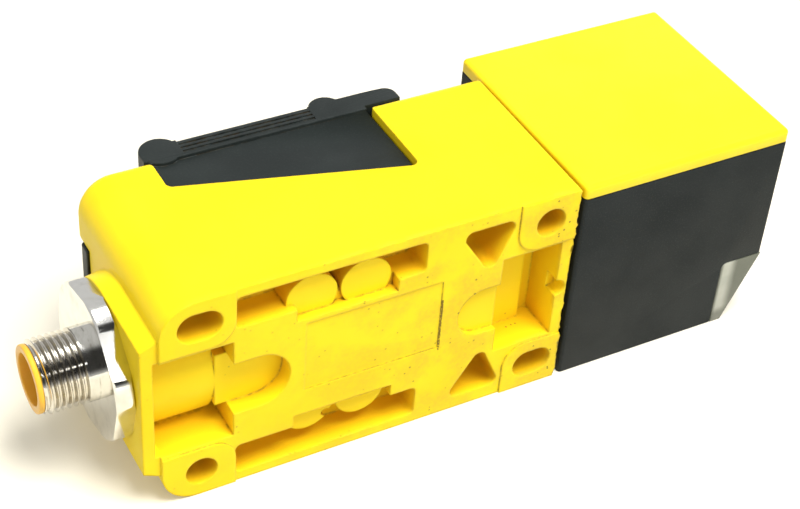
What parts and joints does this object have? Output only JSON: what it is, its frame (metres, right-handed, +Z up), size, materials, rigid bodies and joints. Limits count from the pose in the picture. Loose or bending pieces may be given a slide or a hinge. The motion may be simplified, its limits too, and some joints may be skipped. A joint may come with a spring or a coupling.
{
  "type": "proximity switch",
  "caption": "Rectangular inductive proximity switch: yellow base with terminal chamber and black cover, round threaded plug, turnable black sensing head with yellow active face",
  "frame": {"origin": "centre of the mounting-hole pattern, on the plane of the mounting pads", "axes": "+X along the housing from the plug to the sensing head, +Y from the mounting side to the front cover, +Z up with the switch lying on its side, which is also the way the active face looks"},
  "size_m": [0.1281, 0.04, 0.04],
  "materials": {
    "base_yellow": "glass-filled moulding, satin, slightly grimy",
    "cap_yellow": "smooth satin moulding",
    "cover_black": "fine-grained satin moulding",
    "head_black": "fine-grained satin moulding",
    "seal_rubber": "matt",
    "zinc_steel": "zinc plated",
    "plain_brass": "machined",
    "nickel_brass": "turned, nickel plated",
    "gold_brass": "gold plated",
    "carrier_orange": "satin moulding",
    "terminal_grey": "matt moulding",
    "lead_brown": "insulation",
    "lead_white": "insulation",
    "lead_blue": "insulation",
    "lead_black": "insulation",
    "bundle_grey": "sleeved leads",
    "window_clear": "translucent moulding",
    "ferrite": "sintered ferrite",
    "bobbin_beige": "thin moulding",
    "copper": "enamelled copper winding",
    "board_green": "glass-epoxy board with solder resist",
    "chip_black": "moulded components",
    "lamp_clear": "clear lamp bodies"
  },
  "bodies": {
    "base_unit": {"base_housing": "base_yellow", "cover_screw_insert": "plain_brass", "connector_shell": "nickel_brass", "contact_carrier": "carrier_orange", "contact_pins": "gold_brass", "connector_seal": "seal_rubber", "terminal_block": "terminal_grey", "terminal_clamps": "plain_brass", "terminal_screws": "zinc_steel", "lead_brown": "lead_brown", "lead_white": "lead_white", "lead_blue": "lead_blue", "lead_black": "lead_black", "head_lead_loop": "bundle_grey"},
    "cover_unit": {"front_cover": "cover_black", "cover_gasket": "seal_rubber"},
    "screw_unit": {"cover_screw": "zinc_steel"},
    "head_unit": {"head_housing": "head_black", "active_face_cap": "cap_yellow", "led_window_mount_side": "window_clear", "led_window_front_side": "window_clear", "ferrite_core": "ferrite", "coil_bobbin": "bobbin_beige", "sensing_coil": "copper", "circuit_board": "board_green", "board_components": "chip_black", "indicator_leds": "lamp_clear", "head_snap_ring": "zinc_steel", "head_seal": "seal_rubber", "head_leads": "bundle_grey"}
  },
  "joints": [
    {"name": "head_turn", "type": "hinge", "parent": "base_unit", "child": "head_unit", "pos_m": [0.0355, 0.02, 0], "axis": [1, 0, 0], "range_deg": [-90, 180]},
    {"name": "cover_pull", "type": "slide", "parent": "base_unit", "child": "cover_unit", "axis": [0, 1, 0], "range_m": [0, 0.03]},
    {"name": "cover_screw_turn", "type": "hinge", "parent": "cover_unit", "child": "screw_unit", "pos_m": [0.0179, 0.0364, 0], "axis": [0, 1, 0], "continuous": true}
  ]
}
